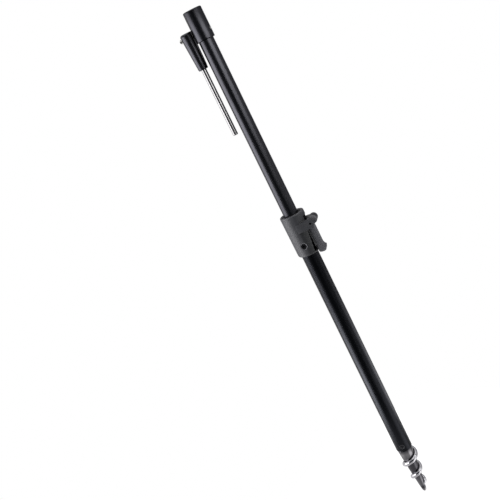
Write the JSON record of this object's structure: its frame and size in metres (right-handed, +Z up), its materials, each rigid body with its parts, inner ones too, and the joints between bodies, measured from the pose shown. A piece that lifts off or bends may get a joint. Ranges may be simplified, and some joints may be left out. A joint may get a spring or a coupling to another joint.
{
  "type": "bank stick",
  "caption": "Telescopic bank stick: ground screw, outer and inner tube, lever clamp, threaded head and swinging T-bar handle.",
  "frame": {"origin": "tip of the ground screw, on the tubes' common axis", "axes": "+Z up the stick, +X towards the clamp's lever, the T-bar handle hangs on the -X side"},
  "size_m": [0.05, 0.026, 0.604],
  "materials": {
    "black_anodised": "satin black anodised",
    "charcoal_plastic": "matt, lightly grained",
    "bright_metal": "polished",
    "plain_steel": "turned",
    "dark_steel": "blackened",
    "pale_nylon": "natural nylon"
  },
  "bodies": {
    "lower": {"ground_screw": "bright_metal", "screw_retaining_pin": "dark_steel", "outer_tube": "black_anodised", "clamp_collar": "charcoal_plastic", "clamp_liner": "charcoal_plastic", "pressure_pad": "pale_nylon", "lever_pivot_pin": "dark_steel", "collar_screw_front": "dark_steel", "collar_screw_back": "dark_steel"},
    "lever": {"clamp_lever": "charcoal_plastic"},
    "glide": {"glide_bush": "pale_nylon"},
    "upper": {"tube_end_plug": "charcoal_plastic", "inner_tube": "black_anodised", "head_sleeve": "black_anodised", "thread_insert": "plain_steel", "tbar_pivot_pin": "plain_steel", "tbar_pin_clip": "plain_steel"},
    "grip_carrier": {"tbar_bush": "pale_nylon"},
    "tbar": {"tbar_grip": "black_anodised", "tbar_rod": "bright_metal"}
  },
  "joints": [
    {"name": "tube_slide", "type": "slide", "parent": "lower", "child": "glide", "axis": [0, 0, 1], "range_m": [-0.2, 0]},
    {"name": "upper_swivel", "type": "hinge", "parent": "glide", "child": "upper", "pos_m": [0, 0, 0.284], "axis": [0, 0, 1], "range_deg": [-100, 100]},
    {"name": "lever_hinge", "type": "hinge", "parent": "lower", "child": "lever", "pos_m": [0.0162, 0, 0.358], "axis": [0, -1, 0], "range_deg": [0, 80]},
    {"name": "tbar_shift", "type": "slide", "parent": "upper", "child": "grip_carrier", "axis": [-1, 0, 0], "range_m": [0, 0.003]},
    {"name": "tbar_swing", "type": "hinge", "parent": "grip_carrier", "child": "tbar", "pos_m": [-0.0157, 0, 0.581], "axis": [1, 0, 0], "continuous": true}
  ],
  "couplings": [
    {"joint": "tbar_shift", "follows": "tube_slide", "ratio": -0.015}
  ]
}
